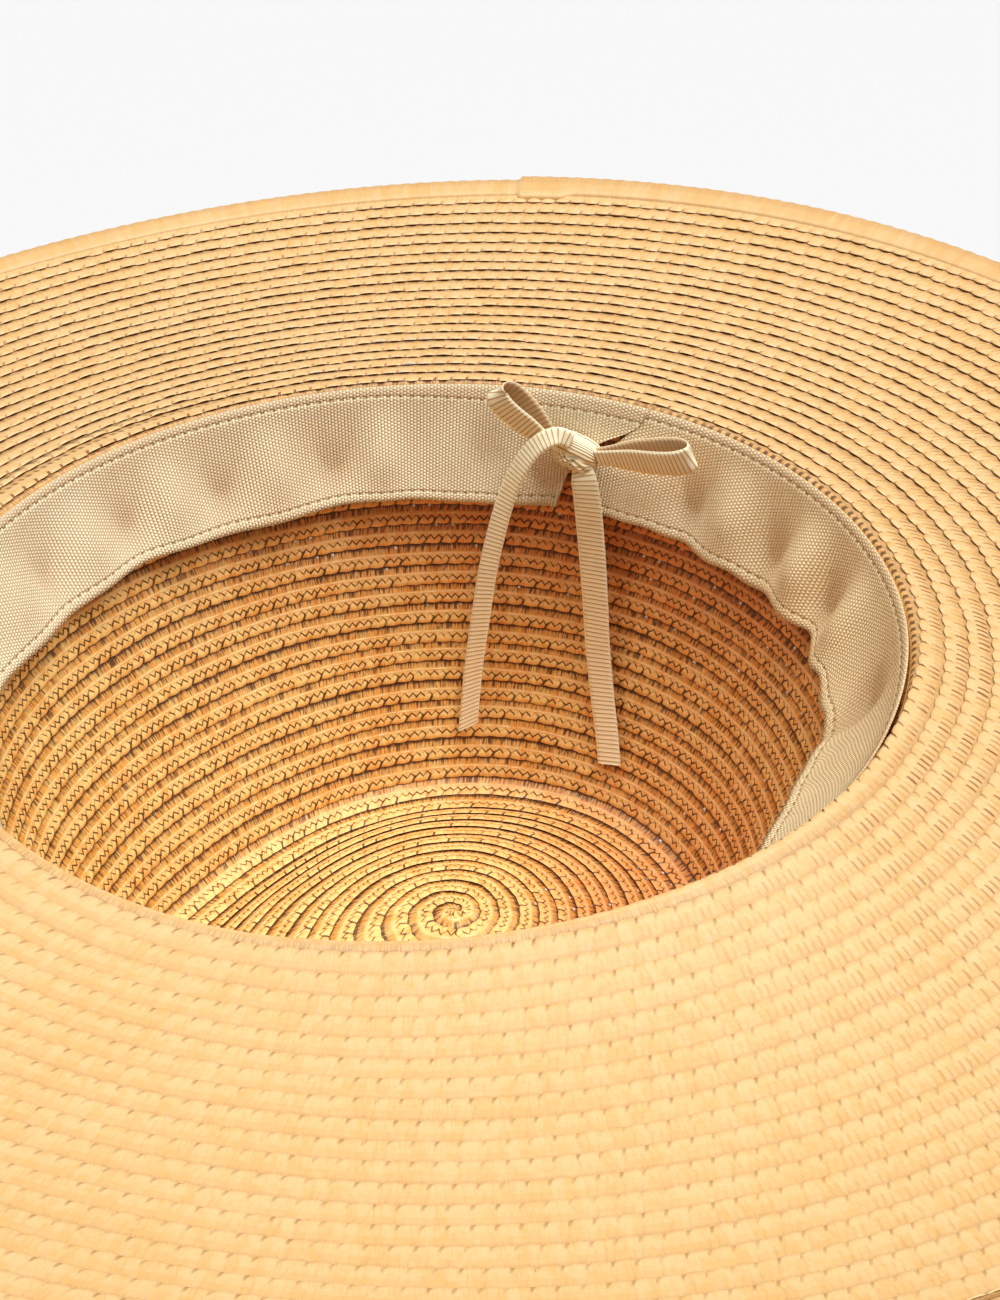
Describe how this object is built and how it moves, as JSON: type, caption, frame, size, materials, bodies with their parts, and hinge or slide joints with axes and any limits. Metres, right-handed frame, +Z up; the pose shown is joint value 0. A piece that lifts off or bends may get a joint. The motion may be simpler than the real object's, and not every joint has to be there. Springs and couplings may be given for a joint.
{
  "type": "straw fedora",
  "caption": "Wide-brimmed fedora of sewn straw braid, lying on its crown, with an oval dent in the tip, a woven sweatband and a small ribbon bow at the back.",
  "frame": {"origin": "on the floor, under the middle of the brim; the hat lies on the ridge of its crown", "axes": "+Z up out of the opening, +Y to the back of the hat, where the bow is, +X to the right of a viewer who faces the bow"},
  "size_m": [0.4026, 0.3917, 0.1144],
  "materials": {
    "straw": "golden paper-straw braid, matt, with a slight gloss on the strands",
    "sweatband_cloth": "beige plain-weave cloth, matt",
    "ribbon": "ribbed tan ribbon with a soft sheen"
  },
  "bodies": {
    "root": {"crown_side": "straw", "crown_tip": "straw", "brim": "straw", "brim_edge": "straw", "sweatband": "sweatband_cloth", "bow_knot": "ribbon", "bow_loop_left": "ribbon", "bow_loop_right": "ribbon", "bow_tail_left": "ribbon", "bow_tail_right": "ribbon"}
  },
  "joints": []
}
